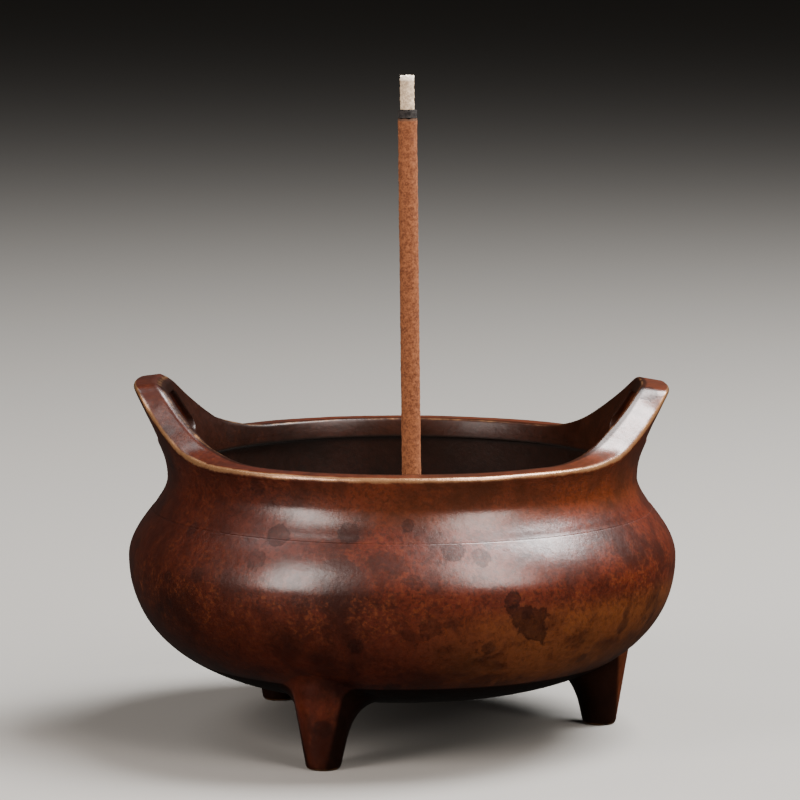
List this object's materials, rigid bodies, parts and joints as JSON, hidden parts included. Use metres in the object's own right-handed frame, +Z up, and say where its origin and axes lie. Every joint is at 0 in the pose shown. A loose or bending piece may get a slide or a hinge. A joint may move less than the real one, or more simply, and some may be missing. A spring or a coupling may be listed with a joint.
{
  "type": "incense burner",
  "caption": "Small footed metal incense burner with a bulging bowl, waisted neck and pierced rising ears, filled with ash that holds a burning incense stick.",
  "frame": {"origin": "on the surface the feet stand on, under the middle of the bowl", "axes": "+Z up along the bowl's axis, +X through the right ear, -Y towards the front foot"},
  "size_m": [0.08, 0.08, 0.0961],
  "materials": {
    "bronze": "mottled red-brown patina, waxed to a soft gloss, bright on worn edges",
    "ash": "loose fine grey powder, matte",
    "incense": "pressed wood powder, matte and granular",
    "char": "charred, matte",
    "white_ash": "crumbly ash that keeps the stick's shape, matte"
  },
  "bodies": {
    "burner": {"belly_bowl": "bronze", "neck_ring": "bronze", "left_ear": "bronze", "right_ear": "bronze", "front_foot": "bronze", "right_foot": "bronze", "rear_foot": "bronze", "ash_bed": "ash"},
    "stick": {"incense_stick": "incense", "ember_band": "char", "ash_tip": "white_ash"}
  },
  "joints": [
    {"name": "stick_lift", "type": "slide", "parent": "burner", "child": "stick", "axis": [-0.0115, 0, 0.9999], "range_m": [0, 0.04]}
  ]
}
